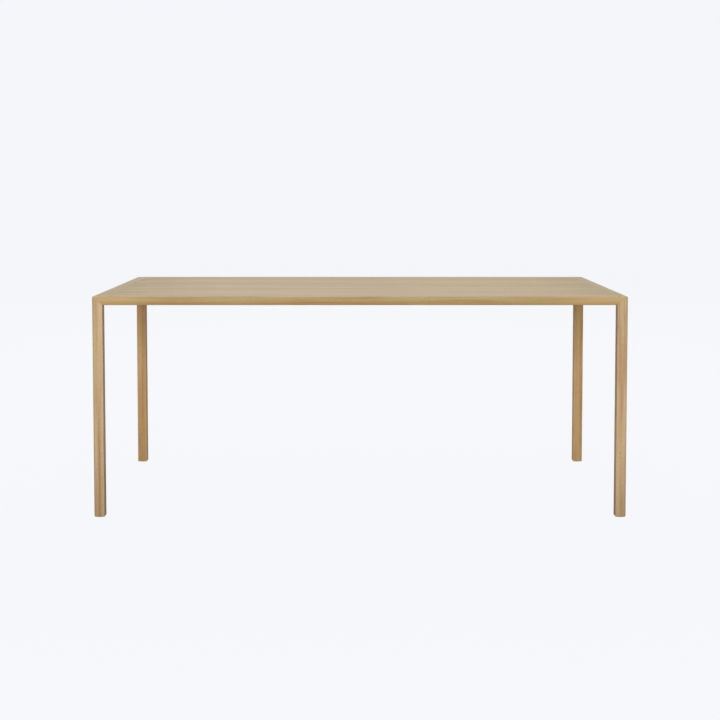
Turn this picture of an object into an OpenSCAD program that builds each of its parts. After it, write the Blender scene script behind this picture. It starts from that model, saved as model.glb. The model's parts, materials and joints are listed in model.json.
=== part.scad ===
// Communion table: a thin oak top on four square legs that stand flush with its
// corners. Top and leg meet in a three-way mitre, so no end grain shows anywhere.
//
// Units are millimetres. +X runs along the length, +Y from front to back, +Z up.
// The origin is on the floor, under the centre of the top.

/* [Table] */
// Overall length of the top
table_length = 1800; // [1200:10:2400]
// Overall depth of the top, front to back
table_depth = 900; // [600:10:1100]
// Height of the top above the floor
table_height = 750; // [700:5:950]

/* [Top] */
// Thickness of the top, as it shows at the edge
top_thickness = 29; // [27:1:36]
// Thickness of the oak veneer on each face of the core
veneer_thickness = 1; // [0.6:0.1:2]
// Radius of the soft round along the upper outer edge of the top
edge_round = 6; // [2:0.5:7]

/* [Legs] */
// Width of a leg's two faces, and of the lippings that meet it
leg_width = 36; // [34:1:45]
// Radius of the outer vertical corner, in plan
corner_round = 11; // [8:0.5:12]
// Radius of a leg's other edges, and of the lower outer edge of the top
leg_round = 3; // [1:0.5:4]

/* [Joinery] */
// Thickness of the loose tongues between core and lippings
tongue_thickness = 6; // [4:1:8]
// Overall width of a loose tongue, half of it in each side
tongue_width = 20; // [12:1:24]
// Diameter of the dowels in the mitres
dowel_diameter = 6; // [5:1:7]

/* [Ironwork] */
// Thickness of the corner plates that are let in under the top
plate_thickness = 4; // [3:0.5:5]
// Length of the tang that each corner plate puts down into its leg
tang_length = 100; // [60:5:160]
// Length of the steel channels that keep the top straight
channel_length = 1500; // [900:10:1500]
// Distance of each channel from the centre line of the top
channel_offset = 210; // [120:5:220]

/* [Feet] */
// Gap between the end of a leg and the floor, with the foot fully in
foot_gap = 1.5; // [1:0.1:3]
// Diameter of a foot's nylon pad
pad_diameter = 24; // [20:1:25]
// Height of a foot's nylon pad
pad_height = 5; // [4:0.5:6]
// Diameter of the screw stem
stem_diameter = 8; // [6:1:8]

/* [Hidden] */
$fn = 72;
slack = 0.05;         // radial room round screws, dowels and inserts
beyond = 1;           // how far a cutter runs past the face it cuts

half_length = table_length / 2;
half_depth = table_depth / 2;
underside = table_height - top_thickness;
core_length = table_length - 2 * leg_width;
core_depth = table_depth - 2 * leg_width;
core_thickness = top_thickness - 2 * veneer_thickness;

mitre_slope = top_thickness / leg_width;
mitre_angle = atan(mitre_slope);
mitre_reach = 3 * leg_width;

tongue_stop = 80;     // bare core edge left at each end of a tongue
tongue_level = table_height - top_thickness / 2;

leg_dowel_inset = [24, 8];
leg_dowel_top = 10.3; // depth of the upright dowels' upper ends below the top
leg_dowel_length = 24;
lipping_dowel_inset = 24;
lipping_dowel_depth = 9.7;
lipping_dowel_length = 20;

plate_inset = 12;     // plate's edge, in from the outer faces
plate_reach = 102;
plate_clip = 40;      // where the plate's inner corner is cut off
plate_screws = [[85, 27], [27, 85], [58, 58]];
tang_width = 20;
tang_thickness = 5;

channel_width = 40;
channel_height = 12;
channel_wall = 3;
channel_screw_count = 5;
channel_screw_margin = 90;
channel_screw_pitch = (channel_length - 2 * channel_screw_margin) / (channel_screw_count - 1);

screw_length = 18;
screw_radius = 2.25;
screw_head_radius = 4.5;
screw_head_height = 2.6;
screw_tip = 3;
screw_socket_across = 4;
screw_socket_depth = 1.6;

recess_diameter = pad_diameter + 2;
recess_depth = 8;     // the foot's nut goes up into this recess
insert_radius = 6;
insert_length = 16;
insert_top = foot_gap + recess_depth + insert_length;
stem_radius = stem_diameter / 2;
stem_fit = 0.08;      // radial running clearance in the insert
stem_rise = 14.5;     // how far a stem stands above its insert, with the foot fully in
stem_top = insert_top + stem_rise;
stem_hole_room = 0.5; // radial room above the insert
stem_hole_top = stem_top + 2;
nut_across_flats = 13;
nut_height = 3.5;
spigot_depth = 3;
pad_round = 1.2;

// Every corner has a name and says whether it is on the right and at the rear.
CORNERS = [
    ["front_left", false, false],
    ["front_right", true, false],
    ["rear_left", false, true],
    ["rear_right", true, true]
];

// ---------------------------------------------------------------- placing

// Puts a shape drawn for the front left corner at any corner. There, x runs
// inwards from the outer side face and y inwards from the front face.
module at_corner(corner) {
    mirror([corner[1] ? 1 : 0, 0, 0])
        mirror([0, corner[2] ? 1 : 0, 0])
            translate([-half_length, -half_depth, 0])
                children();
}

module at_each_corner() {
    for (corner = CORNERS)
        at_corner(corner) children();
}

// ---------------------------------------------------------------- outlines

// What a round of the given radius takes off a square corner at the origin.
module corner_waste(radius) {
    difference() {
        translate([-beyond, -beyond])
            square(radius + beyond);
        translate([radius, radius])
            circle(radius);
    }
}

module leg_outline() {
    difference() {
        square(leg_width);
        corner_waste(corner_round);
        translate([leg_width, 0]) mirror([1, 0]) corner_waste(leg_round);
        translate([0, leg_width]) mirror([0, 1]) corner_waste(leg_round);
        translate([leg_width, leg_width]) rotate(180) corner_waste(leg_round);
    }
}

// Cross-section of a lipping, outer face on the left.
module lipping_outline() {
    difference() {
        square([leg_width, top_thickness]);
        corner_waste(leg_round);
        translate([0, top_thickness]) mirror([0, 1]) corner_waste(edge_round);
    }
}

module plate_outline() {
    polygon([
        [plate_inset, plate_inset],
        [plate_reach, plate_inset],
        [plate_reach, plate_clip],
        [plate_clip, plate_reach],
        [plate_inset, plate_reach]
    ]);
}

module channel_outline() {
    difference() {
        square([channel_width, channel_height]);
        translate([channel_wall, channel_wall])
            square([channel_width - 2 * channel_wall, channel_height]);
    }
}

// ---------------------------------------------------------------- mitre planes

// The slope between leg and front lipping falls inwards from the outer top edge.
// side = 0 is the wood above it, side = -1 the wood below it.
module front_slope(side) {
    translate([0, 0, table_height])
        rotate([0, mitre_angle, 0])
            translate([-leg_width, -leg_width, side * mitre_reach])
                cube([mitre_reach, mitre_reach, mitre_reach]);
}

// The same slope between leg and side lipping.
module side_slope(side) {
    translate([0, 0, table_height])
        rotate([-mitre_angle, 0, 0])
            translate([-leg_width, -leg_width, side * mitre_reach])
                cube([mitre_reach, mitre_reach, mitre_reach]);
}

// The upright plane where two lippings meet.
// side = 0 is the side lipping's wood, side = -1 the front lipping's.
module upright_plane(side) {
    translate([0, 0, underside - beyond])
        rotate(45)
            translate([-leg_width, side * mitre_reach, 0])
                cube([mitre_reach, mitre_reach, top_thickness + 2 * beyond]);
}

// ---------------------------------------------------------------- rounded edges

// What a round takes off an upper edge that runs along y, with its outer face at x = 0.
module straight_edge_waste(radius) {
    translate([0, leg_width + beyond, 0])
        rotate([90, 0, 0])
            linear_extrude(leg_width + 2 * beyond)
                mirror([0, 1]) corner_waste(radius);
}

// The same round where the edge turns with the round outer corner.
module corner_edge_waste(radius) {
    translate([corner_round, corner_round, 0])
        rotate(180)
            rotate_extrude(angle = 90)
                translate([corner_round, 0])
                    rotate(180)
                        corner_waste(radius);
}

// What the table's soft upper edge takes off the tip of a leg.
module leg_tip_waste() {
    translate([0, 0, table_height]) {
        corner_edge_waste(edge_round);
        for (side = [0, 1])
            mirror([side, -side, 0]) straight_edge_waste(edge_round);
    }
}

// What the small round along its lower edges takes off a leg.
module leg_foot_waste() {
    translate([0, 0, foot_gap])
        mirror([0, 0, 1]) {
            corner_edge_waste(leg_round);
            for (turn = [0 : 3])
                translate([leg_width / 2, leg_width / 2, 0])
                    rotate(90 * turn)
                        translate([-leg_width / 2, -leg_width / 2, 0])
                            straight_edge_waste(leg_round);
        }
}

// What the round outer corner takes off the lippings, its soft upper edge included.
module lipping_corner_waste() {
    translate([0, 0, underside - beyond])
        linear_extrude(top_thickness + 2 * beyond)
            corner_waste(corner_round);
    translate([0, 0, table_height])
        corner_edge_waste(edge_round);
}

// ---------------------------------------------------------------- fasteners

module screw_body(room) {
    rotate_extrude()
        polygon([
            [0, 0],
            [screw_head_radius + room, 0],
            [screw_radius + room, screw_head_height],
            [screw_radius + room, screw_length - screw_tip + room],
            [0, screw_length + room]
        ]);
}

// Countersunk screw, driven upwards, its head flush at z = 0.
module screw() {
    difference() {
        screw_body(0);
        translate([0, 0, -beyond])
            cylinder(d = screw_socket_across, h = screw_socket_depth + beyond, $fn = 6);
    }
}

module at_plate_screws() {
    for (place = plate_screws)
        translate([place[0], place[1], underside])
            children();
}

module at_channel_screws() {
    for (row = [-1, 1], i = [0 : channel_screw_count - 1])
        translate([
            (i - (channel_screw_count - 1) / 2) * channel_screw_pitch,
            row * channel_offset,
            underside
        ])
            children();
}

// The three dowels of one corner: two upright ones join the leg to the
// lippings, and a level one joins the lippings to each other.
module corner_dowels(room) {
    for (place = [leg_dowel_inset, [leg_dowel_inset[1], leg_dowel_inset[0]]])
        translate([place[0], place[1], table_height - leg_dowel_top - leg_dowel_length])
            cylinder(d = dowel_diameter + 2 * room, h = leg_dowel_length);
    translate([lipping_dowel_inset, lipping_dowel_inset, table_height - lipping_dowel_depth])
        rotate([0, 90, -45])
            cylinder(d = dowel_diameter + 2 * room, h = lipping_dowel_length, center = true);
}

// ---------------------------------------------------------------- ironwork

// Plate under the top, welded to an upright tang that stands in the leg.
module plate_and_tang() {
    translate([0, 0, underside])
        linear_extrude(plate_thickness)
            plate_outline();
    translate([lipping_dowel_inset, lipping_dowel_inset, underside - tang_length])
        rotate(45)
            translate([-tang_width / 2, -tang_thickness / 2, 0])
                cube([tang_width, tang_thickness, tang_length]);
}

module corner_plate() {
    color("dimgray")
        difference() {
            plate_and_tang();
            at_plate_screws() screw_body(slack);
        }
}

module channel_blank() {
    translate([0, -channel_offset - channel_width / 2, underside])
        rotate([90, 0, 90])
            linear_extrude(channel_length, center = true)
                channel_outline();
}

module channel() {
    color("dimgray")
        difference() {
            channel_blank();
            at_channel_screws() screw_body(slack);
        }
}

// ---------------------------------------------------------------- top

module front_tongue_blank() {
    length = core_length - 2 * tongue_stop;
    translate([
        -length / 2,
        -half_depth + leg_width - tongue_width / 2,
        tongue_level - tongue_thickness / 2
    ])
        cube([length, tongue_width, tongue_thickness]);
}

module left_tongue_blank() {
    length = core_depth - 2 * tongue_stop;
    translate([
        -half_length + leg_width - tongue_width / 2,
        -length / 2,
        tongue_level - tongue_thickness / 2
    ])
        cube([tongue_width, length, tongue_thickness]);
}

// Everything that is let into the underside of the top.
module let_in_ironwork() {
    at_each_corner() plate_and_tang();
    for (row = [0, 1])
        mirror([0, row, 0]) channel_blank();
}

module top_core() {
    color("burlywood")
        difference() {
            translate([-core_length / 2, -core_depth / 2, underside + veneer_thickness])
                cube([core_length, core_depth, core_thickness]);
            for (row = [0, 1]) {
                mirror([0, row, 0]) front_tongue_blank();
                mirror([row, 0, 0]) left_tongue_blank();
            }
            let_in_ironwork();
            at_each_corner() at_plate_screws() screw_body(slack);
            at_channel_screws() screw_body(slack);
        }
}

module veneer_sheet(level) {
    translate([-core_length / 2, -core_depth / 2, level])
        cube([core_length, core_depth, veneer_thickness]);
}

module top_veneer() {
    color([0.75, 0.69, 0.59])
        veneer_sheet(table_height - veneer_thickness);
}

module underside_veneer() {
    color([0.70, 0.60, 0.45])
        difference() {
            veneer_sheet(underside);
            let_in_ironwork();
            at_each_corner() at_plate_screws() screw_body(slack);
            at_channel_screws() screw_body(slack);
        }
}

// What is taken out of a lipping at the corner it shares with a leg.
module lipping_corner_cuts() {
    lipping_corner_waste();
    plate_and_tang();
    corner_dowels(slack);
    at_plate_screws() screw_body(slack);
}

module front_lipping() {
    color([0.72, 0.61, 0.44])
        difference() {
            translate([0, -half_depth, underside])
                rotate([90, 0, 90])
                    linear_extrude(table_length, center = true)
                        lipping_outline();
            for (end = [0, 1])
                mirror([end, 0, 0]) at_corner(CORNERS[0]) {
                    front_slope(-1);
                    upright_plane(0);
                    lipping_corner_cuts();
                }
            front_tongue_blank();
        }
}

module left_lipping() {
    color([0.72, 0.61, 0.44])
        difference() {
            translate([-half_length, 0, underside])
                rotate([90, 0, 0])
                    linear_extrude(table_depth, center = true)
                        lipping_outline();
            for (end = [0, 1])
                mirror([0, end, 0]) at_corner(CORNERS[0]) {
                    side_slope(-1);
                    upright_plane(-1);
                    lipping_corner_cuts();
                }
            left_tongue_blank();
        }
}

module tongue(along_side) {
    color("tan")
        if (along_side)
            left_tongue_blank();
        else
            front_tongue_blank();
}

// ---------------------------------------------------------------- legs and feet

module foot_hole(radius, from, to) {
    translate([leg_width / 2, leg_width / 2, from])
        cylinder(r = radius, h = to - from);
}

module leg() {
    color([0.76, 0.66, 0.51])
        difference() {
            translate([0, 0, foot_gap])
                linear_extrude(table_height - foot_gap)
                    leg_outline();
            front_slope(0);
            side_slope(0);
            leg_tip_waste();
            leg_foot_waste();
            plate_and_tang();
            corner_dowels(slack);
            foot_hole(recess_diameter / 2, 0, foot_gap + recess_depth);
            foot_hole(insert_radius + slack, foot_gap, insert_top);
            foot_hole(stem_radius + stem_hole_room, foot_gap, stem_hole_top);
        }
}

module dowels() {
    color("wheat")
        corner_dowels(0);
}

module foot_insert() {
    color("goldenrod")
        difference() {
            foot_hole(insert_radius, foot_gap + recess_depth, insert_top);
            foot_hole(stem_radius + stem_fit, foot_gap, insert_top + beyond);
        }
}

// Screw stem with a hexagon for a spanner, and a spigot that holds the pad.
module foot_stem() {
    color("silver")
        translate([leg_width / 2, leg_width / 2, pad_height]) {
            cylinder(d = nut_across_flats / cos(30), h = nut_height, $fn = 6);
            translate([0, 0, -spigot_depth])
                cylinder(r = stem_radius, h = stem_top - pad_height + spigot_depth);
        }
}

module foot_pad() {
    color("black")
        translate([leg_width / 2, leg_width / 2, 0])
            difference() {
                rotate_extrude()
                    difference() {
                        square([pad_diameter / 2, pad_height]);
                        translate([pad_diameter / 2, 0])
                            mirror([1, 0]) corner_waste(pad_round);
                    }
                translate([0, 0, pad_height - spigot_depth])
                    cylinder(r = stem_radius + slack, h = spigot_depth + beyond);
            }
}

// ---------------------------------------------------------------- nodes

top_core();
top_veneer();
underside_veneer();
front_lipping();
mirror([0, 1, 0]) front_lipping();  // rear_lipping
left_lipping();
mirror([1, 0, 0]) left_lipping();  // right_lipping
tongue(false);  // front_tongue
mirror([0, 1, 0]) tongue(false);  // rear_tongue
tongue(true);  // left_tongue
mirror([1, 0, 0]) tongue(true);  // right_tongue
channel();  // channel_front
mirror([0, 1, 0]) channel();  // channel_rear
color("silver") at_channel_screws() screw();  // channel_screws
color("silver") at_each_corner() at_plate_screws() screw();  // corner_plate_screws
at_each_corner() foot_insert();  // foot_inserts
for (corner = CORNERS) {
    at_corner(corner) leg();
    at_corner(corner) dowels();
    at_corner(corner) corner_plate();
    at_corner(corner) foot_stem();
    at_corner(corner) foot_pad();
}
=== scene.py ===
"""Looks of the communion table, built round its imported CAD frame. Metres, +Z up.

The woodwork, the plates, the channels and the pads are the CAD's own nodes, with their sharp
edges broken and grained materials. Screws, screw feet, inserts and dowels are turned anew here,
with their threads and flutes, each on the axis that is measured from the CAD solid it stands for.
"""

import json
import math

import bmesh
import bpy
import numpy as np
from mathutils import Matrix, Vector


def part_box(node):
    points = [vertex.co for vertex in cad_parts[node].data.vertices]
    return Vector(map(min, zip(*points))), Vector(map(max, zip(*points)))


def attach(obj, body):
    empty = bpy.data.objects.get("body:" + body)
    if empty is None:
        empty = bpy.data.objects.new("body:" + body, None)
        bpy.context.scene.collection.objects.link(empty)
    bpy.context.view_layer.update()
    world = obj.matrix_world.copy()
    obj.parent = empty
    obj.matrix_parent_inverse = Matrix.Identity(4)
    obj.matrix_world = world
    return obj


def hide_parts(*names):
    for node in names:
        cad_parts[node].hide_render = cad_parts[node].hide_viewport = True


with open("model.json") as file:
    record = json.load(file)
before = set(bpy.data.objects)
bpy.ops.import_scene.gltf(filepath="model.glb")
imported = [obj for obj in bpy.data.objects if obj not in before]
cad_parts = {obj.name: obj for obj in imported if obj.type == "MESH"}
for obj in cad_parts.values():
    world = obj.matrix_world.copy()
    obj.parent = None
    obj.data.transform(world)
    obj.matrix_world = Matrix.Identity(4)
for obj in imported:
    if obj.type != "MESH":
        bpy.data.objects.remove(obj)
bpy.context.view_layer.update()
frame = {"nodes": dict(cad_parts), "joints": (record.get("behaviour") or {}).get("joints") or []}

MM = 0.001
CORNERS = ("front_left", "front_right", "rear_left", "rear_right")
LIPPINGS = (("front", "X"), ("rear", "X"), ("left", "Y"), ("right", "Y"))     # side and grain


# ------------------------------------------------------------------ small helpers


def srgb(red, green, blue):
    """A colour given as 0-255 screen values, as the linear colour that shaders use."""
    def linear(value):
        value /= 255
        return value / 12.92 if value <= 0.04045 else ((value + 0.055) / 1.055) ** 2.4
    return (linear(red), linear(green), linear(blue), 1.0)


def palette(*colours):
    """Several colours, each given as 0-255 screen values."""
    return tuple(srgb(*colour) for colour in colours)


def centre_and_half(node):
    """The middle of a CAD node's box, and half of its size."""
    low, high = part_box(node)
    return (low + high) / 2, (high - low) / 2


def new_object(name, mesh):
    thing = bpy.data.objects.new(name, mesh)
    bpy.context.scene.collection.objects.link(thing)
    return thing


# ------------------------------------------------------------------ shader building


# The sockets of a Mix node that carry colours. They share their names with its other sockets.
MIX_FIRST, MIX_SECOND, MIX_RESULT = 6, 7, 2


class Material:
    """A node material with one Principled shader, and short calls for the nodes that feed it."""

    def __init__(self, name):
        self.data = bpy.data.materials.new(name)
        self.data.use_nodes = True
        self.tree = self.data.node_tree
        self.tree.nodes.clear()
        output = self.tree.nodes.new("ShaderNodeOutputMaterial")
        self.shader = self.tree.nodes.new("ShaderNodeBsdfPrincipled")
        self.link(self.shader.outputs[0], output.inputs["Surface"])

    def link(self, source, target):
        self.tree.links.new(source, target)

    def put(self, target, value):
        """Sets a socket to a number or colour, or links it to another node's socket."""
        if isinstance(value, bpy.types.NodeSocket):
            self.link(value, target)
        else:
            target.default_value = value

    def set(self, **values):
        """Fills the shader's sockets, each named with underscores for its spaces."""
        for name, value in values.items():
            self.put(self.shader.inputs[name.replace("_", " ")], value)

    def maths(self, operation, first, second=0.0, third=0.0, clamp=False):
        node = self.tree.nodes.new("ShaderNodeMath")
        node.operation = operation
        node.use_clamp = clamp
        for socket, value in zip(node.inputs, (first, second, third)):
            self.put(socket, value)
        return node.outputs[0]

    def vector(self, operation, first, second=(0, 0, 0)):
        node = self.tree.nodes.new("ShaderNodeVectorMath")
        node.operation = operation
        self.put(node.inputs[0], first)
        self.put(node.inputs[1], second)
        return node.outputs["Value" if operation == "LENGTH" else "Vector"]

    def position(self):
        """The place on the object itself, so that a pattern moves with its piece."""
        return self.tree.nodes.new("ShaderNodeTexCoord").outputs["Object"]

    def split(self, vector):
        node = self.tree.nodes.new("ShaderNodeSeparateXYZ")
        self.link(vector, node.inputs[0])
        return list(node.outputs)

    def join(self, *parts):
        node = self.tree.nodes.new("ShaderNodeCombineXYZ")
        for socket, value in zip(node.inputs, parts):
            self.put(socket, value)
        return node.outputs[0]

    def noise(self, vector, scale, detail=2.0, roughness=0.5):
        """Noise in 0-1 whose grains are 1/scale metres long on each axis."""
        node = self.tree.nodes.new("ShaderNodeTexNoise")
        self.link(self.vector("MULTIPLY", vector, scale), node.inputs["Vector"])
        node.inputs["Scale"].default_value = 1.0
        node.inputs["Detail"].default_value = detail
        node.inputs["Roughness"].default_value = roughness
        return node.outputs["Fac"]

    def ramp(self, value, low, high, to_low=0.0, to_high=1.0):
        """Maps low-high smoothly to to_low-to_high, and stays flat beyond."""
        node = self.tree.nodes.new("ShaderNodeMapRange")
        node.interpolation_type = "SMOOTHSTEP"
        for name, number in (("Value", value), ("From Min", low), ("From Max", high),
                             ("To Min", to_low), ("To Max", to_high)):
            self.put(node.inputs[name], number)
        return node.outputs["Result"]

    def chance(self, number):
        """A value in 0-1 drawn from a whole number, always the same for the same number."""
        node = self.tree.nodes.new("ShaderNodeTexWhiteNoise")
        node.noise_dimensions = "1D"
        self.link(number, node.inputs["W"])
        return node.outputs["Value"]

    def mix(self, amount, first, second, blend="MIX"):
        """The first colour, turned by amount to the second."""
        node = self.tree.nodes.new("ShaderNodeMix")
        node.data_type = "RGBA"
        node.blend_type = blend
        self.put(node.inputs["Factor"], amount)
        self.put(node.inputs[MIX_FIRST], first)
        self.put(node.inputs[MIX_SECOND], second)
        return node.outputs[MIX_RESULT]

    def bump(self, height, depth, strength):
        """Relief in the shader's normal: a height of 1 stands depth metres proud."""
        node = self.tree.nodes.new("ShaderNodeBump")
        node.inputs["Strength"].default_value = strength
        node.inputs["Distance"].default_value = depth
        self.link(height, node.inputs["Height"])
        self.link(node.outputs[0], self.shader.inputs["Normal"])


# ------------------------------------------------------------------ oak


# The axes that lie across, through and along the wood, for each way the grain can run.
GRAIN_ORDER = {"X": (1, 2, 0), "Y": (0, 2, 1), "Z": (0, 1, 2)}


class Oak(Material):
    """Oak: rings round a pith, open pores, ray flecks and slow drifts of colour.

    The colours are light wood, greenish wood, reddish wood, dark wood and pore. Extra marks
    are added to self.colour before seal() hands everything to the shader.
    """

    # How fine each pattern is, in grains a metre across, through and along the wood.
    WANDER_GRAIN = (14, 14, 1.1)
    FIBRE_GRAIN = (620, 620, 9)
    VESSEL_GRAIN = (2400, 2400, 110)
    RAY_GRAIN = (170, 60, 34)
    WEAR_GRAIN = (40, 40, 14)
    KNOT_GRAIN = (320, 320, 60)
    STREAK_ALONG, DRIFT_ALONG, HUE_ALONG = 2.2, 0.9, 1.3

    # Rings: how far they bend, and the shares of one where early wood ends and late wood starts.
    BEND, BEND_BACK = 11 * MM, -5 * MM
    EARLY_END, LATE_START = 0.42, 0.72

    # What each pattern adds to the tone, and the tones that are all light and all coloured wood.
    BAND_TONE, DRIFT_TONE, FIBRE_TONE, LEAF_TONE, LATE_TONE = 1.25, 0.75, 0.40, 0.22, 0.20
    PALEST, DEEPEST = 0.92, 1.70

    # How strongly each mark covers the colour under it.
    DARK_STREAK, OPEN_PORE, PALE_RAY, LEAF_JOINT, RUBBED_EDGE = 0.62, 0.55, 0.35, 0.45, 0.38

    # What fibre, pores and rays do to the roughness, and the depth of the relief.
    FIBRE_ROUGH, PORE_ROUGH, RAY_SMOOTH = 0.10, 0.22, 0.06
    RELIEF = 0.12 * MM

    # How far each leaf of veneer slips along from the last, and half the width of their joint.
    LEAF_SLIP, LEAF_GAP = 21 * MM, 0.25 * MM

    # How far from an arris the wear and the painted highlight start, and where they are full.
    RUBBED_FROM, RUBBED_TO = 4.5 * MM, 0.8 * MM

    def __init__(self, name, grain, centre, pith, colours, ring=2.6 * MM, streak=95, broad=9,
                 fleck=0.5, leaf=0):
        super().__init__(name)
        light, green, red, self.dark, pore = colours
        self.place = self.vector("SUBTRACT", self.position(), tuple(centre))
        parts = self.split(self.place)
        across, through, along = (parts[axis] for axis in GRAIN_ORDER[grain])
        leaf_chance = 0.5
        if leaf:
            across, along, leaf_chance, joint = self.leaves(across, along, leaf)
        # Each piece starts somewhere else, so that no two share their figure.
        start = [10 * pith[0], 10 * pith[1], pith[0]]
        self.wood = self.vector("ADD", self.join(across, through, along), start)
        wood = self.wood

        # Rings: distance from the pith, bent by the tree's slow wander along the grain.
        wander = self.noise(wood, self.WANDER_GRAIN, detail=3)
        bent = self.maths("MULTIPLY_ADD", wander, self.BEND, self.BEND_BACK)
        radius = self.vector("LENGTH", self.join(self.maths("SUBTRACT", across, pith[0]),
                                                 self.maths("SUBTRACT", through, pith[1])))
        phase = self.maths("FRACT", self.maths("DIVIDE", self.maths("ADD", radius, bent), ring))
        early = self.ramp(phase, 0.0, self.EARLY_END, 1.0, 0.0)
        late = self.ramp(phase, self.LATE_START, 1.0)

        # Streaks a few millimetres wide, drifts a few centimetres wide, and fine fibre.
        band = self.noise(wood, (streak, streak, self.STREAK_ALONG), detail=3, roughness=0.62)
        drift = self.noise(wood, (broad, broad, self.DRIFT_ALONG), detail=3)
        self.fibre = self.noise(wood, self.FIBRE_GRAIN, detail=3, roughness=0.6)
        tone = self.maths("MULTIPLY", drift, self.DRIFT_TONE)
        tone = self.maths("MULTIPLY_ADD", band, self.BAND_TONE, tone)
        tone = self.maths("MULTIPLY_ADD", self.fibre, self.FIBRE_TONE, tone)
        tone = self.maths("MULTIPLY_ADD", leaf_chance, self.LEAF_TONE, tone)
        tone = self.ramp(tone, self.PALEST, self.DEEPEST)
        tone = self.maths("MULTIPLY_ADD", late, self.LATE_TONE, tone, clamp=True)
        hue = self.noise(wood, (streak * 0.5, streak * 0.5, self.HUE_ALONG), detail=2)
        hue = self.ramp(hue, 0.40, 0.60)
        colour = self.mix(tone, light, self.mix(hue, green, red))
        heavy = self.maths("MULTIPLY", self.ramp(band, 0.54, 0.76), self.DARK_STREAK)
        colour = self.mix(heavy, colour, self.dark)

        # Pores: short open vessels, crowded in the early wood of each ring.
        vessels = self.noise(wood, self.VESSEL_GRAIN, detail=1)
        crowd = self.maths("MULTIPLY_ADD", early, 0.09, -0.02)
        self.pores = self.ramp(self.maths("ADD", vessels, crowd), 0.62, 0.70)
        colour = self.mix(self.maths("MULTIPLY", self.pores, self.OPEN_PORE), colour, pore)

        # Ray flecks: small pale scales that lie across the grain.
        scales = self.noise(wood, self.RAY_GRAIN, detail=1)
        self.rays = self.maths("MULTIPLY", self.ramp(scales, 0.66, 0.74), fleck)
        colour = self.mix(self.maths("MULTIPLY", self.rays, self.PALE_RAY), colour, light)
        if leaf:
            colour = self.mix(self.maths("MULTIPLY", joint, self.LEAF_JOINT), colour, pore)
        self.colour = colour

    def leaves(self, across, along, width):
        """Book-matched veneer: every other leaf is turned over, and each has its own tone."""
        pace = self.maths("DIVIDE", across, width)
        number = self.maths("FLOOR", pace)
        inside = self.maths("SUBTRACT", self.maths("FRACT", pace), 0.5)
        odd = self.maths("MODULO", self.maths("ABSOLUTE", number), 2.0)
        turned = self.maths("MULTIPLY", inside, self.maths("MULTIPLY_ADD", odd, -2.0, 1.0))
        joint = self.ramp(self.maths("ABSOLUTE", inside), 0.5 - self.LEAF_GAP / width, 0.5)
        slipped = self.maths("MULTIPLY_ADD", number, self.LEAF_SLIP, along)
        return self.maths("MULTIPLY", turned, width), slipped, self.chance(number), joint

    def rub_and_highlight_edges(self, axes, half):
        """Paler along the arrises, in patches: partly the finish rubbed thin by handling, partly
        painted highlight.
        """
        parts = self.split(self.place)
        first, second = (self.maths("SUBTRACT", self.maths("ABSOLUTE", parts[axis]), half[axis])
                         for axis in axes)
        near = self.ramp(self.maths("MINIMUM", first, second), -self.RUBBED_FROM, -self.RUBBED_TO)
        patchy = self.ramp(self.noise(self.wood, self.WEAR_GRAIN, detail=3), 0.38, 0.68)
        # painted highlight along the arrises, mixed with the rubbed wear
        worn = self.maths("MULTIPLY", self.maths("MULTIPLY", near, patchy), self.RUBBED_EDGE)
        self.colour = self.mix(worn, self.colour, RUBBED)

    def tint(self, axis, start, end, amount, colour, blend="MIX", both_ways=False):
        """Turns to another colour from start to end along an axis, from the piece's middle."""
        place = self.split(self.place)[axis]
        if both_ways:
            place = self.maths("ABSOLUTE", place)
        share = self.ramp(place, start, end, 0.0, amount)
        self.colour = self.mix(share, self.colour, colour, blend)

    def add_knot(self, at, size, amount):
        """A pin knot or a slanting dark streak: a soft dark ellipsoid, ragged at its rim."""
        offset = self.vector("SUBTRACT", self.place, at)
        reach = self.vector("LENGTH", self.vector("DIVIDE", offset, size))
        rim = self.noise(self.wood, self.KNOT_GRAIN, detail=2)
        ragged = self.maths("MULTIPLY_ADD", rim, 0.8, reach)
        core = self.ramp(ragged, 0.55, 1.35, amount, 0.0)
        self.colour = self.mix(core, self.colour, self.dark)

    def seal(self, gloss=0.42, roughness=0.42):
        """A matt lacquer over the colour: duller in the pores, with the fibre in the relief."""
        rough = self.maths("MULTIPLY_ADD", self.fibre, self.FIBRE_ROUGH, roughness)
        rough = self.maths("MULTIPLY_ADD", self.pores, self.PORE_ROUGH, rough)
        rough = self.maths("SUBTRACT", rough, self.maths("MULTIPLY", self.rays, self.RAY_SMOOTH))
        self.set(Base_Color=self.colour, Roughness=rough, Specular_IOR_Level=gloss)
        height = self.maths("SUBTRACT", self.maths("MULTIPLY", self.fibre, 0.25), self.pores)
        self.bump(height, self.RELIEF, 0.6)
        return self


# Each palette: light wood, greenish wood, reddish wood, dark wood and pore.
# The top's colours are greyer than the edges': partly the veneer's own tone, partly painted sheen
# from the light at a low angle.
OAK_TOP_WITH_SHEEN = palette((209, 188, 149), (191, 166, 122), (188, 156, 119), (164, 133, 90),
                  (111, 86, 57))
OAK_EDGE = palette((196, 171, 121), (178, 151, 97), (176, 141, 89), (152, 118, 68),
                   (104, 78, 46))
OAK_END = palette((186, 163, 115), (170, 145, 93), (169, 136, 88), (147, 114, 67),
                  (100, 76, 45))
OAK_LEG = palette((218, 190, 146), (192, 163, 116), (190, 151, 108), (160, 122, 78),
                  (112, 82, 50))
# The rear legs' colours: a warmer, deeper copy of the front legs', painted shade from the top
# above them.
OAK_LEG_SHADED = palette((216, 178, 122), (196, 158, 100), (192, 146, 92), (156, 112, 60),
                       (108, 76, 42))
OAK_BACK = palette((188, 158, 114), (172, 142, 98), (168, 132, 92), (142, 108, 70),
                   (100, 72, 44))

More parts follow.
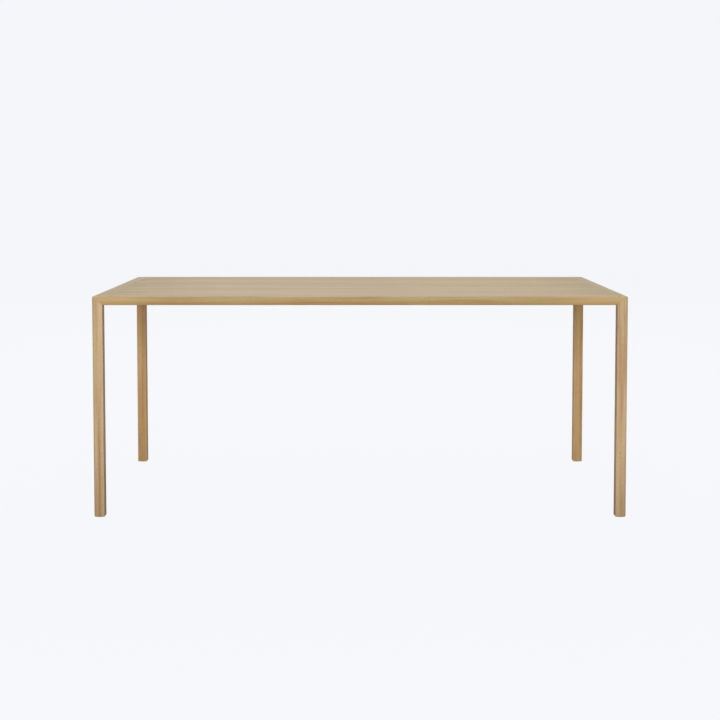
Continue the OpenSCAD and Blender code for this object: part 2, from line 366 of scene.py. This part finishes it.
RUBBED = srgb(224, 202, 166)        # thin lacquer along the arrises, and painted highlight on them
UPPER_FACE_SHEEN = srgb(204, 187, 154)      # painted sheen: the lippings' upper faces and top few millimetres paler and greyer
END_LIGHT = srgb(208, 178, 126)     # the long lippings, paler near their mitres
LOWER_EDGE_SHADE = srgb(160, 120, 66)     # painted shade: the lippings darker and warmer towards their lower edges

# Washes, which multiply the colour under them.
TOP_ENDS_WASH = (0.88, 0.91, 0.88, 1.0)      # the top towards its ends: greener and darker
FOOT_DARKENING_WASH = (0.77, 0.73, 0.70, 1.0)    # the legs, darker near the floor

# Where the changes along the table start and are full, in metres from its middle.
TOP_ENDS_SPAN, END_LIGHT_SPAN = (0.63, 0.90), (0.60, 0.82)

# Where the darkening starts and would be full, in metres above a leg's lower end.
FOOT_DARKENING_SPAN = (0.27, -0.06)

# Marks in a leg: place outward and up, half size, both in millimetres, and strength.
FRONT_LEG_MARKS = (((-5, 218), (8, 9, 3), 0.45), ((3, 60), (3, 12, 50), 0.30))
REAR_LEG_MARKS = (((9, 85), (3, 14, 60), 0.55),)

TOP_LEAF, BACK_LEAF = 138 * MM, 207 * MM      # width of one leaf of veneer


def veneer_materials():
    top, _ = centre_and_half("top_veneer")
    oak = Oak("oak_veneer", "X", top, (0.21, -0.34), OAK_TOP_WITH_SHEEN, ring=3.2 * MM, streak=60, broad=16,
              fleck=0.7, leaf=TOP_LEAF)
    oak.tint(0, *TOP_ENDS_SPAN, 1.0, TOP_ENDS_WASH, "MULTIPLY", both_ways=True)
    give("top_veneer", oak.seal(gloss=0.2, roughness=0.5))
    back, _ = centre_and_half("underside_veneer")
    give("underside_veneer", Oak("oak_veneer_under", "X", back, (0.05, 0.28), OAK_BACK,
                                 ring=3.4 * MM, leaf=BACK_LEAF).seal())


def lipping_materials():
    for number, (side, grain) in enumerate(LIPPINGS):
        node = side + "_lipping"
        centre, half = centre_and_half(node)
        pith = (0.09 + 0.011 * number, -0.06 + 0.017 * number)
        is_long = grain == "X"
        oak = Oak("oak_" + node, grain, centre, pith, OAK_EDGE if is_long else OAK_END, streak=70)
        oak.rub_and_highlight_edges((1, 2) if is_long else (0, 2), half)
        if is_long:
            oak.tint(0, *END_LIGHT_SPAN, 0.75, END_LIGHT, both_ways=True)
        # painted shade, darker and warmer towards the lower edge
        oak.tint(2, 0.5 * half.z, -half.z, 0.50, LOWER_EDGE_SHADE)
        # painted sheen on each lipping's upper face and its top few millimetres
        oak.tint(2, half.z - 3 * MM, half.z - 0.3 * MM, 0.45, UPPER_FACE_SHEEN)
        give(node, oak.seal(gloss=0.25, roughness=0.48))
        soften(node, 0.3 * MM)


def leg_materials():
    for number, corner in enumerate(CORNERS):
        node = "leg_" + corner
        centre, half = centre_and_half(node)
        foot = -half.z
        outward = 1 if "right" in corner else -1
        rear = "rear" in corner
        pith = (0.07 - 0.012 * number, 0.085 + 0.009 * number)
        # the rear legs take the painted-shade copy of the leg colours
        oak = Oak("oak_" + node, "Z", centre, pith, OAK_LEG_SHADED if rear else OAK_LEG, streak=75,
                  broad=34)
        oak.rub_and_highlight_edges((0, 1), half)
        darkening_from, darkening_to = (foot + height for height in FOOT_DARKENING_SPAN)
        oak.tint(2, darkening_from, darkening_to, 0.4 if rear else 1.0, FOOT_DARKENING_WASH, "MULTIPLY")
        for (out, up), size, amount in REAR_LEG_MARKS if rear else FRONT_LEG_MARKS:
            at = (outward * out * MM, -half.y, foot + up * MM)
            oak.add_knot(at, tuple(extent * MM for extent in size), amount)
        give(node, oak.seal())
        soften(node, 0.3 * MM)


# ------------------------------------------------------------------ wood inside


GLUE = srgb(96, 66, 40)
STAVE, STAVE_GLUE = 25 * MM, 0.4 * MM       # the blockboard's inner staves
PLY, PLY_GLUE = 1.2 * MM, 0.12 * MM


class Timber(Material):
    """A plainer wood for inner pieces: fibre along one axis, in sheets or staves that differ."""

    FIBRE_GRAIN, PIT_GRAIN = (260, 260, 9), (900, 900, 120)

    def __init__(self, name, grain, light, dark, layer_axis=None, layer=1.0, glue=0.0,
                 contrast=0.5):
        super().__init__(name)
        place = self.position()
        fibre_scale, pit_scale = [0, 0, 0], [0, 0, 0]
        for axis, fibres, pits in zip(GRAIN_ORDER[grain], self.FIBRE_GRAIN, self.PIT_GRAIN):
            fibre_scale[axis], pit_scale[axis] = fibres, pits
        fibre = self.noise(place, fibre_scale, detail=4, roughness=0.6)
        pits = self.ramp(self.noise(place, pit_scale, detail=1), 0.60, 0.70)
        colour = self.mix(self.ramp(fibre, 0.3, 0.7), light, dark)
        colour = self.mix(self.maths("MULTIPLY", pits, 0.35), colour, dark)
        if layer_axis is not None:
            pace = self.maths("DIVIDE", self.split(place)[layer_axis], layer)
            chance = self.chance(self.maths("FLOOR", pace))
            colour = self.mix(self.maths("MULTIPLY", chance, contrast), colour, dark)
            line = self.maths("ABSOLUTE", self.maths("SUBTRACT", self.maths("FRACT", pace), 0.5))
            seam = self.ramp(line, 0.5 - glue / layer, 0.5)
            colour = self.mix(self.maths("MULTIPLY", seam, 0.7), colour, GLUE)
        self.set(Base_Color=colour, Roughness=self.maths("MULTIPLY_ADD", fibre, 0.2, 0.6),
                 Specular_IOR_Level=0.3)
        self.bump(self.maths("SUBTRACT", fibre, pits), 0.1 * MM, 0.5)


def inner_wood_materials():
    give("top_core", Timber("blockboard", "X", srgb(206, 176, 132), srgb(172, 138, 96),
                            layer_axis=1, layer=STAVE, glue=STAVE_GLUE))
    for side, grain in LIPPINGS:
        node = side + "_tongue"
        give(node, Timber("plywood_" + node, grain, srgb(222, 196, 154), srgb(190, 158, 116),
                          layer_axis=2, layer=PLY, glue=PLY_GLUE, contrast=0.9))
        soften(node, 0.25 * MM)


# ------------------------------------------------------------------ metal and nylon


class Metal(Material):
    """Metal with hairlines along its grain, drifting tone, and patches dulled by fingers."""

    CLOUD_GRAIN, DULL_GRAIN = (24, 24, 24), (60, 60, 60)
    HAIRLINE = 0.02 * MM
    HAIR_ROUGH, DULL_ROUGH = 0.16, 0.14

    def __init__(self, name, light, dark, grain, rough, crystals=0):
        super().__init__(name)
        place = self.position()
        hair = self.noise(place, grain, detail=3, roughness=0.7)
        cloud = self.noise(place, self.CLOUD_GRAIN, detail=3)
        tone = self.maths("MULTIPLY_ADD", hair, 0.6, self.maths("MULTIPLY", cloud, 0.7))
        tone = self.ramp(tone, 0.4, 0.9)
        if crystals:        # zinc spangle, in cells a metre
            cells = self.tree.nodes.new("ShaderNodeTexVoronoi")
            cells.inputs["Scale"].default_value = crystals
            self.link(place, cells.inputs["Vector"])
            flake = self.split(cells.outputs["Color"])[0]
            tone = self.maths("MULTIPLY_ADD", flake, 0.35, self.maths("MULTIPLY", tone, 0.65))
        dull = self.ramp(self.noise(place, self.DULL_GRAIN, detail=4), 0.5, 0.72)
        colour = self.mix(tone, light, dark)
        colour = self.mix(self.maths("MULTIPLY", dull, 0.35), colour, dark)
        roughness = self.maths("MULTIPLY_ADD", hair, self.HAIR_ROUGH, rough - self.HAIR_ROUGH / 2)
        roughness = self.maths("MULTIPLY_ADD", dull, self.DULL_ROUGH, roughness)
        self.set(Base_Color=colour, Roughness=roughness, Metallic=1.0)
        self.bump(hair, self.HAIRLINE, 0.5)


class Nylon(Material):
    """Black moulded nylon: a fine spark-eroded grain, scuffed grey where it meets the floor."""

    BLACK, FADED_BLACK, SCUFFED = palette((40, 40, 42), (56, 56, 58), (108, 106, 102))
    MOULD_GRAIN, SCUFF_GRAIN = (1900, 1900, 1900), (160, 160, 500)
    SCUFFED_UP_TO = 0.45        # share of the height

    def __init__(self, name, floor, top):
        super().__init__(name)
        place = self.position()
        grain = self.noise(place, self.MOULD_GRAIN, detail=2)
        scuff = self.noise(place, self.SCUFF_GRAIN, detail=4, roughness=0.7)
        limit = floor + (top - floor) * self.SCUFFED_UP_TO
        low = self.ramp(self.split(place)[2], floor, limit, 1.0, 0.15)
        worn = self.maths("MULTIPLY", self.ramp(scuff, 0.50, 0.68), low)
        colour = self.mix(grain, self.BLACK, self.FADED_BLACK)
        colour = self.mix(self.maths("MULTIPLY", worn, 0.5), colour, self.SCUFFED)
        self.set(Base_Color=colour, Roughness=self.maths("MULTIPLY_ADD", worn, 0.22, 0.48))
        self.bump(grain, 0.03 * MM, 0.5)


def plate_materials():
    spangled = Metal("zinc_plate", srgb(196, 198, 200), srgb(158, 161, 165),
                     grain=(30, 30, 900), rough=0.40, crystals=260)
    rolled = Metal("zinc_channel", srgb(198, 200, 202), srgb(156, 159, 163),
                   grain=(6, 700, 700), rough=0.38, crystals=200)
    for corner in CORNERS:
        give("corner_plate_" + corner, spangled)
        soften("corner_plate_" + corner, 0.3 * MM)
    for side in ("front", "rear"):
        give("channel_" + side, rolled)
        soften("channel_" + side, 0.4 * MM)


def pad_materials():
    for corner in CORNERS:
        node = "foot_pad_" + corner
        low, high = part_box(node)
        give(node, Nylon("nylon_" + corner, low.z, high.z))
        soften(node, 0.25 * MM)


# ------------------------------------------------------------------ CAD nodes that stay


def give(node, material):
    """Puts a material on every face of a CAD node."""
    mesh = frame["nodes"][node].data
    mesh.materials.clear()
    mesh.materials.append(material.data)


SMOOTH_BELOW, BREAK_ABOVE = 32, 40      # degrees between the faces at an edge
WELD_WITHIN = 0.002 * MM
FLAT_FACE_WEIGHT = 80       # 50 would count a large flat face and a small round one alike


def smoothing_group():
    """A modifier's node group that shades smoothly across every shallow edge."""
    tree = bpy.data.node_groups.new("smooth_by_angle", "GeometryNodeTree")
    for way in ("INPUT", "OUTPUT"):
        tree.interface.new_socket("Geometry", in_out=way, socket_type="NodeSocketGeometry")
    enter, leave = (tree.nodes.new("NodeGroup" + way) for way in ("Input", "Output"))
    forget = tree.nodes.new("GeometryNodeRemoveAttribute")
    forget.inputs["Name"].default_value = "custom_normal"
    faces = tree.nodes.new("GeometryNodeSetShadeSmooth")
    edges = tree.nodes.new("GeometryNodeSetShadeSmooth")
    edges.domain = "EDGE"
    edges.inputs["Shade Smooth"].default_value = False
    angle = tree.nodes.new("GeometryNodeInputMeshEdgeAngle")
    sharp = tree.nodes.new("FunctionNodeCompare")
    sharp.operation = "GREATER_THAN"
    sharp.inputs["B"].default_value = math.radians(SMOOTH_BELOW)
    tree.links.new(angle.outputs["Unsigned Angle"], sharp.inputs["A"])
    tree.links.new(sharp.outputs["Result"], edges.inputs["Selection"])
    tree.links.new(enter.outputs[0], forget.inputs["Geometry"])
    tree.links.new(forget.outputs["Geometry"], faces.inputs["Geometry"])
    tree.links.new(faces.outputs["Geometry"], edges.inputs["Geometry"])
    tree.links.new(edges.outputs["Geometry"], leave.inputs[0])
    return tree


SMOOTHING = smoothing_group()


def shade(modifiers):
    """Smooth across shallow edges, with the large flat faces kept flat beside the rounds."""
    modifiers.new("smooth", "NODES").node_group = SMOOTHING
    flatten = modifiers.new("flat_faces_stay_flat", "WEIGHTED_NORMAL")
    flatten.weight = FLAT_FACE_WEIGHT
    flatten.keep_sharp = True


def soften(node, width):
    """Breaks a CAD node's sharp edges, so that a joint shows as a fine line."""
    modifiers = frame["nodes"][node].modifiers
    weld = modifiers.new("weld", "WELD")
    weld.merge_threshold = WELD_WITHIN
    bevel = modifiers.new("arris", "BEVEL")
    bevel.width = width
    bevel.segments = 2
    bevel.limit_method = "ANGLE"
    bevel.angle_limit = math.radians(BREAK_ABOVE)
    shade(modifiers)


# ------------------------------------------------------------------ turned pieces


POINT_DIGITS = 7        # decimals of a metre to which two points of one mesh are the same


def solids(node):
    """The corner points of each separate solid in a CAD node, as arrays."""
    mesh = frame["nodes"][node].data
    points = np.array([v.co for v in mesh.vertices], float)
    _, same = np.unique(points.round(POINT_DIGITS), axis=0, return_inverse=True)
    same = same.reshape(-1)
    parent = list(range(same.max() + 1))

    def root(item):
        while parent[item] != item:
            parent[item] = parent[parent[item]]
            item = parent[item]
        return item

    for face in mesh.polygons:
        first, *others = (root(same[v]) for v in face.vertices)
        for other in others:
            parent[root(other)] = root(first)
    groups = np.array([root(item) for item in same])
    return [points[groups == group] for group in np.unique(groups)]


def axis_of(points):
    """The placing matrix, length and radius of a turned solid, whose axis becomes z from 0 up."""
    middle = (points.min(0) + points.max(0)) / 2
    direction = np.linalg.eigh(np.cov((points - middle).T))[1][:, 2]
    if direction[np.argmax(abs(direction))] < 0:
        direction = -direction
    turn = Vector(direction).to_track_quat("Z", "Y").to_matrix()
    local = (points - middle) @ np.array(turn)
    centre = (local.min(0) + local.max(0)) / 2
    start = Vector(middle) + turn @ Vector((centre[0], centre[1], local[:, 2].min()))
    place = Matrix.Translation(start) @ turn.to_4x4()
    reach = np.hypot(local[:, 0] - centre[0], local[:, 1] - centre[1]).max()
    return place, float(np.ptp(local[:, 2])), float(reach)


# A row of a turned piece is (radius, height, shape). Its shape gives the true reach at an angle.
ROWS_A_TURN = 8         # rows in one turn of a thread


def plain(radius, height, angle):
    """A row shape: round."""
    return radius


def hexagonal(across_flats):
    """A row shape: a hexagon with corners at 0 and 60 degrees, trimmed by the row's radius."""
    def shape(radius, height, angle):
        return min(radius, across_flats / 2 / math.cos(angle % (math.pi / 3) - math.pi / 6))
    return shape


def threaded(pitch, depth, low, high, crest):
    """A row shape: a right-handed thread cut into the row's radius, fading out at both ends.

    crest is the share of each pitch that the ridge takes.
    """
    def shape(radius, height, angle):
        phase = (height / pitch - angle / (2 * math.pi)) % 1
        groove = min(1.0, abs(2 * phase - 1) / crest)
        fade = min(1.0, (height - low) / pitch, (high - height) / pitch)
        return radius - depth * groove * max(0.0, fade)
    return shape


def fluted(count, depth):
    """A row shape: shallow grooves along a dowel, for the glue."""
    def shape(radius, height, angle):
        return radius - depth * (0.5 + 0.5 * math.cos(count * angle)) ** 2
    return shape


def thread_rows(radius, pitch, depth, low, high, crest=0.5):
    """Rows of a thread from low to high, close enough together to follow it."""
    shape = threaded(pitch, depth, low, high, crest)
    count = math.ceil((high - low) / pitch * ROWS_A_TURN)
    return [(radius, low + (high - low) * i / count, shape) for i in range(count + 1)]


def turn_up(builder, place, rows, segments, closed):
    """Adds a turned solid to builder.

    rows run from one end to the other, or right round a ring's section where closed is true.
    A row of radius 0 is a single point.
    """
    rings = []
    for radius, height, shape in rows:
        if radius == 0:
            rings.append([builder.verts.new(place @ Vector((0, 0, height)))])
            continue
        ring = []
        for step in range(segments):
            angle = 2 * math.pi * step / segments
            reach = shape(radius, height, angle)
            spot = Vector((reach * math.cos(angle), reach * math.sin(angle), height))
            ring.append(builder.verts.new(place @ spot))
        rings.append(ring)
    pairs = list(zip(rings, rings[1:]))
    if closed:
        pairs.append((rings[-1], rings[0]))
    for lower, upper in pairs:
        for step in range(segments):
            after = (step + 1) % segments
            if len(lower) == 1:
                builder.faces.new((lower[0], upper[after], upper[step]))
            elif len(upper) == 1:
                builder.faces.new((lower[step], lower[after], upper[0]))
            else:
                builder.faces.new((lower[step], lower[after], upper[after], upper[step]))


def turned_piece(name, node, body, material, make_rows, segments=24, closed=False):
    """One piece of turned solids for a CAD node, each on its own CAD solid's axis."""
    builder = bmesh.new()
    for points in solids(node):
        place, length, radius = axis_of(points)
        turn_up(builder, place, make_rows(length, radius), segments, closed)
    bmesh.ops.recalc_face_normals(builder, faces=builder.faces)
    mesh = bpy.data.meshes.new(name)
    builder.to_mesh(mesh)
    builder.free()
    mesh.materials.append(material.data)
    piece = new_object(name, mesh)
    shade(piece.modifiers)
    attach(piece, body)
    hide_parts(node)


def screw_rows(length, radius):
    """Countersunk wood screw, head down: a hexagon socket, a cone and a coarse thread."""
    socket, socket_depth = 4 * MM, 1.6 * MM
    head_height, shank = 2.6 * MM, 2.2 * MM
    rim, tip = 0.25 * MM, 3 * MM
    pitch, ridge = 2 * MM, 0.75 * MM
    thread_end = length - tip
    hexagon = hexagonal(socket)
    return [
        (0, socket_depth, plain),
        (socket, socket_depth, hexagon),
        (socket, 0.15 * MM, hexagon),
        (socket / 2 + 0.45 * MM, 0, plain),
        (radius - rim, 0, plain),
        (radius, rim, plain),
        (radius - 0.1 * MM, 2 * rim, plain),
        (shank, head_height, plain),
        *thread_rows(shank, pitch, ridge, head_height + 0.8 * MM, thread_end, crest=0.45),
        (0.7 * MM, length - 0.9 * MM, plain),
        (0, length, plain),
    ]


def dowel_rows(length, radius):
    """Fluted beech dowel with chamfered ends."""
    chamfer = 0.9 * MM
    flutes = fluted(12, 0.3 * MM)
    return [
        (0, 0, plain),
        (radius - chamfer, 0, plain),
        (radius, chamfer, flutes),
        (radius, length / 2, flutes),
        (radius, length - chamfer, flutes),
        (radius - chamfer, length, plain),
        (0, length, plain),
    ]


def stem_rows(length, radius):
    """M8 screw foot: a spigot in the pad, a hexagon for a spanner, and a fine thread above it.

    It stands a hair clear of the pad, in which it turns.
    """
    stem, spigot, nut, flats = 4 * MM, 3 * MM, 3.5 * MM, 13 * MM
    chamfer, pitch, clear = 0.5 * MM, 1.25 * MM, 0.03 * MM
    hexagon = hexagonal(flats)
    washer = flats / 2 - 0.15 * MM
    nut_top = spigot + nut
    return [
        (0, clear, plain),
        (stem - chamfer, clear, plain),
        (stem - clear, chamfer, plain),
        (stem - clear, spigot + clear, plain),
        (washer, spigot + clear, plain),
        (radius, spigot + chamfer, hexagon),
        (radius, nut_top - chamfer, hexagon),
        (washer, nut_top, plain),
        (stem, nut_top, plain),
        *thread_rows(stem, pitch, 0.65 * MM, nut_top + 0.6 * MM, length - 0.9 * MM),
        (stem - 0.8 * MM, length, plain),
        (0, length, plain),
    ]


def insert_rows(length, radius):
    """Brass insert: a coarse outer thread that bites in the end grain, round a plain bore."""
    bore, collar = 4.08 * MM, 1.2 * MM
    return [
        (bore, 0.3 * MM, plain),
        (bore + 0.3 * MM, 0, plain),
        (radius - 0.3 * MM, 0, plain),
        (radius, 0.3 * MM, plain),
        (radius, collar, plain),
        *thread_rows(radius, 3 * MM, 1.1 * MM, collar + 0.1 * MM, length - 0.6 * MM, crest=0.4),
        (radius - 0.6 * MM, length, plain),
        (bore, length, plain),
    ]


def make_turned_pieces():
    lengthways, round_about = (900, 900, 60), (60, 60, 1200)      # where the hairlines run
    bright = Metal("zinc_screw", srgb(206, 206, 204), srgb(160, 160, 158), lengthways, 0.32)
    stem = Metal("zinc_stem", srgb(208, 208, 206), srgb(158, 158, 158), lengthways, 0.30)
    brass = Metal("turned_brass", srgb(218, 186, 120), srgb(176, 138, 76), round_about, 0.30)
    for use in ("corner_plate", "channel"):
        turned_piece(use + "_screw_set", use + "_screws", "table", bright,
                     screw_rows)
    turned_piece("threaded_inserts", "foot_inserts", "table", brass, insert_rows,
                 segments=36, closed=True)
    for corner in CORNERS:
        beech = Timber("beech_" + corner, "Z", srgb(222, 186, 142), srgb(192, 150, 106))
        turned_piece("fluted_dowels_" + corner, "dowels_" + corner, "table", beech,
                     dowel_rows, segments=48)
        turned_piece("threaded_stem_" + corner, "foot_stem_" + corner, "stem_" + corner,
                     stem, stem_rows, segments=36)


# ------------------------------------------------------------------ stage


SKY = srgb(246, 247, 251)       # what the camera sees wherever there is no table
FLOOR_GLOW = 0.975
FELT_AIR, FELT_STRENGTH = (1.0, 0.97, 0.93, 1.0), 0.30      # what the table feels: dim and warm

FLOOR_RADIUS, SWEEP, WALL_HEIGHT = 9.0, 3.5, 9.0
SWEEP_STEPS, STAGE_SEGMENTS = 16, 96
FLOOR_GAP = 0.5 * MM            # under the lowest place of the feet

# Name, place, width and height, and power of each light. All look at the middle of the table.
SOFTBOXES = (
    ("overhead_softbox", (0.0, 0.0, 4.6), (4.5, 3.0), 20),
    ("front_softbox", (0.0, -7.2, 2.2), (5.0, 2.0), 322),
    ("rear_softbox", (0.0, 5.6, 4.8), (5.0, 2.4), 210),
    ("left_softbox", (-4.2, 0.4, 2.0), (2.4, 1.6), 26),
    ("right_softbox", (4.2, 0.4, 2.0), (2.4, 1.6), 26),
)
LIGHTS_AIM = (0, 0, 0.4)

# The photo's view, found from the top's edges and the front legs.
FOCAL_LENGTH, SENSOR_WIDTH = 64.07, 36.0        # millimetres
CAMERA_PLACE = (0.0, -4.729, 1.133)
CAMERA_PITCH = 3.123            # degrees below the level
CAMERA_SHIFT = -0.15


def seen_and_felt(tree, seen, felt):
    """A surface the camera sees as one shader, and that lights the object as another."""
    rays = tree.nodes.new("ShaderNodeLightPath")
    choice = tree.nodes.new("ShaderNodeMixShader")
    tree.links.new(rays.outputs["Is Camera Ray"], choice.inputs[0])
    tree.links.new(felt.outputs[0], choice.inputs[1])
    tree.links.new(seen.outputs[0], choice.inputs[2])
    return choice


def studio_paint():
    """Pale paint that looks nearly even, with a faint shadow, and throws back little light."""
    paint = Material("studio_white")
    nodes = paint.tree.nodes
    paint.set(Base_Color=srgb(52, 53, 55), Roughness=1.0, Specular_IOR_Level=0.0,
              Emission_Color=SKY, Emission_Strength=FLOOR_GLOW)
    felt = nodes.new("ShaderNodeBsdfDiffuse")
    mottle = paint.noise(paint.position(), (0.7, 0.7, 0.7), detail=2)
    paint.put(felt.inputs["Color"], paint.mix(mottle, srgb(190, 191, 194), srgb(196, 197, 200)))
    output = next(n for n in nodes if n.type == "OUTPUT_MATERIAL")
    paint.link(seen_and_felt(paint.tree, paint.shader, felt).outputs[0], output.inputs["Surface"])
    return paint


def make_stage():
    """A pale floor that sweeps up into a round wall, so every view has the same plain ground.

    It lies under the lowest place that the feet can be screwed down to, clear of them all.
    """
    travel = max(joint["range_m"][1] for joint in frame["joints"] if "range_m" in joint)
    level = -travel - FLOOR_GAP
    profile = [(FLOOR_RADIUS * 0.5, 0.0)]
    profile += [
        (FLOOR_RADIUS + SWEEP * math.sin(a), SWEEP * (1 - math.cos(a)))
        for a in (math.pi / 2 * i / SWEEP_STEPS for i in range(SWEEP_STEPS + 1))
    ]
    profile.append((FLOOR_RADIUS + SWEEP, WALL_HEIGHT))
    turns = [2 * math.pi * k / STAGE_SEGMENTS for k in range(STAGE_SEGMENTS)]
    builder = bmesh.new()
    rings = [[builder.verts.new((r * math.cos(t), r * math.sin(t), level + z)) for t in turns]
             for r, z in profile]
    middle = builder.verts.new((0, 0, level))
    for k in range(STAGE_SEGMENTS):
        after = (k + 1) % STAGE_SEGMENTS
        builder.faces.new((middle, rings[0][k], rings[0][after]))
        for inner, outer in zip(rings, rings[1:]):
            builder.faces.new((inner[k], outer[k], outer[after], inner[after]))
    mesh = bpy.data.meshes.new("studio_floor")
    builder.to_mesh(mesh)
    builder.free()
    for face in mesh.polygons:
        face.use_smooth = True
    mesh.materials.append(studio_paint().data)
    new_object("studio_floor", mesh)


def make_air():
    """The world: the same pale ground to the camera, and a dim warm fill to the table."""
    scene = bpy.context.scene
    scene.view_settings.view_transform = "Standard"
    scene.world = bpy.data.worlds.new("studio_air")
    scene.world.use_nodes = True
    tree = scene.world.node_tree
    felt = tree.nodes["Background"]
    felt.inputs["Color"].default_value = FELT_AIR
    felt.inputs["Strength"].default_value = FELT_STRENGTH
    seen = tree.nodes.new("ShaderNodeBackground")
    seen.inputs["Color"].default_value = SKY
    output = next(n for n in tree.nodes if n.type == "OUTPUT_WORLD")
    tree.links.new(seen_and_felt(tree, seen, felt).outputs[0], output.inputs["Surface"])


def make_lights():
    for name, place, size, power in SOFTBOXES:
        light = bpy.data.lights.new(name, "AREA")
        light.shape = "RECTANGLE"
        light.size, light.size_y = size
        light.energy = power
        lamp = new_object(name, light)
        lamp.location = place
        outlook = Vector(LIGHTS_AIM) - Vector(place)
        lamp.rotation_euler = outlook.to_track_quat("-Z", "Y").to_euler()


def make_camera():
    data = bpy.data.cameras.new("photo_camera")
    data.lens = FOCAL_LENGTH
    data.sensor_width = SENSOR_WIDTH
    data.shift_y = CAMERA_SHIFT
    data.dof.use_dof = False
    camera = new_object("photo_camera", data)
    camera.location = CAMERA_PLACE
    camera.rotation_euler = (math.radians(90 - CAMERA_PITCH), 0, 0)
    bpy.context.scene.camera = camera


make_camera()
make_stage()
make_air()
make_lights()
veneer_materials()
lipping_materials()
leg_materials()
inner_wood_materials()
plate_materials()
pad_materials()
make_turned_pieces()
